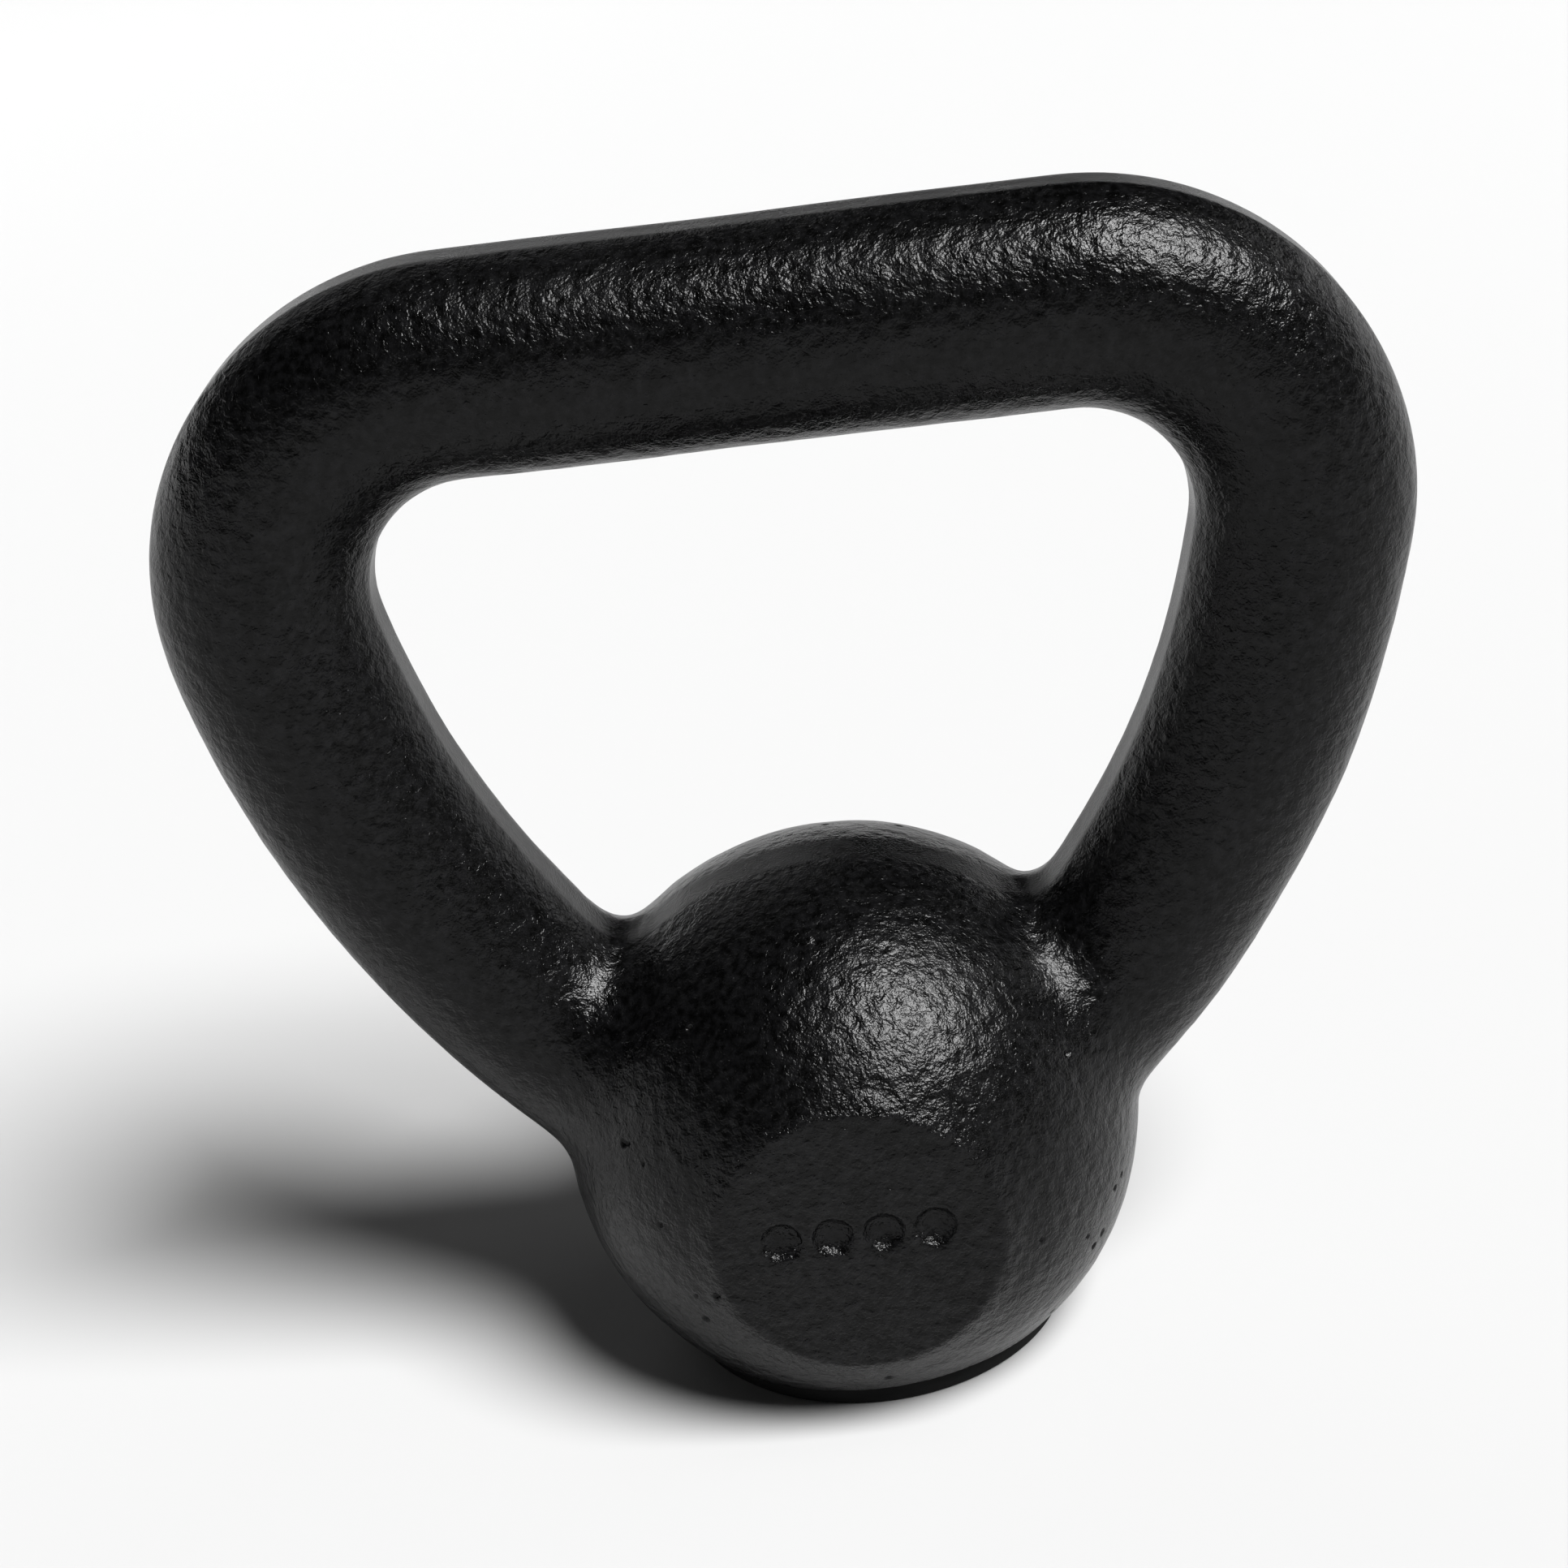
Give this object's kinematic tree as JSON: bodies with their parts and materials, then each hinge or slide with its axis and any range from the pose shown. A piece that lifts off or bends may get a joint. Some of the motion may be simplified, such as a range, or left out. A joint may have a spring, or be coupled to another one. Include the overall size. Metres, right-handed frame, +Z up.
{
  "type": "kettlebell",
  "caption": "Small cast-iron kettlebell: a ball with flats front and back and a rubber foot, under a wide round-bar handle with corners and outward-bowed horns.",
  "frame": {"origin": "centre of the foot's underside, where the kettlebell stands on the floor", "axes": "+Z up from the floor to the grip; X along the straight grip, with +X to the right of someone who faces the marked flat; -Y out of the front flat with the weight marks"},
  "size_m": [0.172, 0.075, 0.1665],
  "materials": {
    "enamelled_iron": "black semi-gloss enamel over sand-cast iron, with a fine pebbled grain",
    "foot_rubber": "matt black moulded rubber"
  },
  "bodies": {
    "root": {"bell": "enamelled_iron", "left_horn": "enamelled_iron", "right_horn": "enamelled_iron", "left_corner": "enamelled_iron", "right_corner": "enamelled_iron", "handle_grip": "enamelled_iron", "base_foot": "foot_rubber"}
  },
  "joints": []
}
